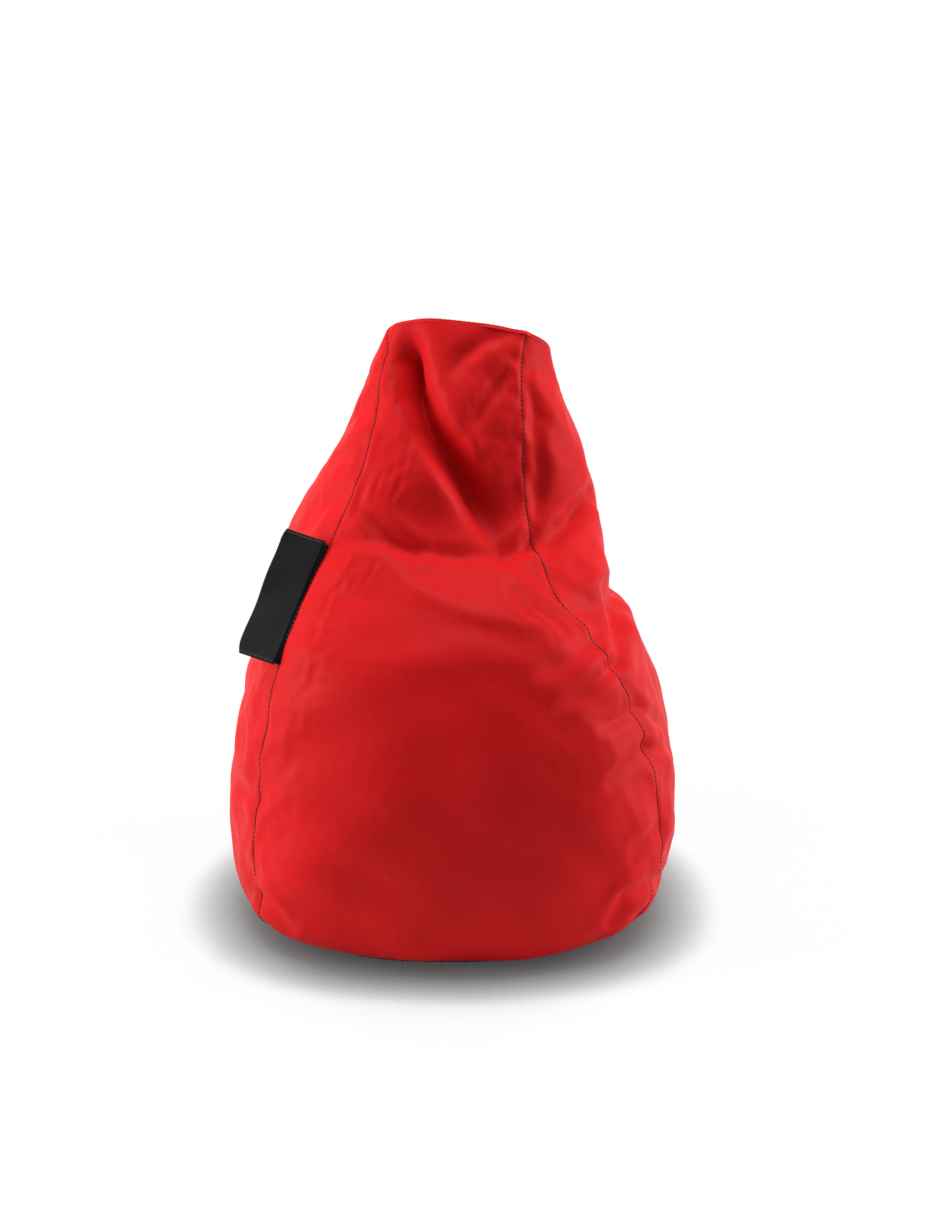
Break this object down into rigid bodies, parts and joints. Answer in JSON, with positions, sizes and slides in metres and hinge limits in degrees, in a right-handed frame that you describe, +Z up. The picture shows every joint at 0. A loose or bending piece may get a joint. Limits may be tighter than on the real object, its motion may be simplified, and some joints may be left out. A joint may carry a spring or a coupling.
{
  "type": "bean bag chair",
  "caption": "Pear-shaped bean bag chair: sewn cloth gores with cap and base round a filled liner, a zip in a back seam and a folded side tag.",
  "frame": {"origin": "middle of the base where it stands on the floor", "axes": "+Z up, -Y to the front where the sitter's legs go, +X to the right as seen from the front"},
  "size_m": [0.6734, 0.6762, 0.8968],
  "materials": {
    "cover_cloth": "satin woven polyester",
    "thread": "twisted thread",
    "tag_webbing": "woven tape",
    "zip_tape": "woven tape",
    "zip_plastic": "moulded",
    "zip_metal": "lacquered",
    "liner_cloth": "plain woven",
    "bead_fill": "loose beads"
  },
  "bodies": {
    "bag": {"front_panel": "cover_cloth", "right_side_panel": "cover_cloth", "back_panel": "cover_cloth", "left_side_panel": "cover_cloth", "top_cap": "cover_cloth", "base_panel": "cover_cloth", "seam_thread_front_left": "thread", "seam_thread_front_right": "thread", "seam_thread_back_left": "thread", "seam_thread_back_right": "thread", "seam_thread_cap": "thread", "seam_thread_base": "thread", "zip_thread_back": "thread", "zip_thread_side": "thread", "tag_root": "tag_webbing", "zip_tape_back": "zip_tape", "zip_tape_side": "zip_tape", "zip_teeth_back": "zip_plastic", "zip_teeth_side": "zip_plastic", "zip_bottom_stop": "zip_plastic", "zip_top_stops": "zip_plastic", "liner_front": "liner_cloth", "liner_back": "liner_cloth", "liner_cap": "liner_cloth", "liner_base": "liner_cloth", "bead_fill": "bead_fill"},
    "tag": {"side_tag": "tag_webbing"},
    "slider": {"zip_slider": "zip_metal", "zip_pull_pin": "zip_metal"},
    "pull": {"zip_pull_tab": "zip_metal"}
  },
  "joints": [
    {"name": "tag_flap", "type": "hinge", "parent": "bag", "child": "tag", "pos_m": [-0.21475, -0.17725, 0.51077], "axis": [0.3739, 0.371, 0.85], "range_deg": [-20, 95]},
    {"name": "zip_slide", "type": "slide", "parent": "bag", "child": "slider", "axis": [-0.1907, 0.1482, -0.9704], "range_m": [0, 0.242]},
    {"name": "pull_swing", "type": "hinge", "parent": "slider", "child": "pull", "pos_m": [-0.17846, 0.22664, 0.56428], "axis": [0.7846, 0.6171, -0.0599], "range_deg": [0, 150]}
  ]
}
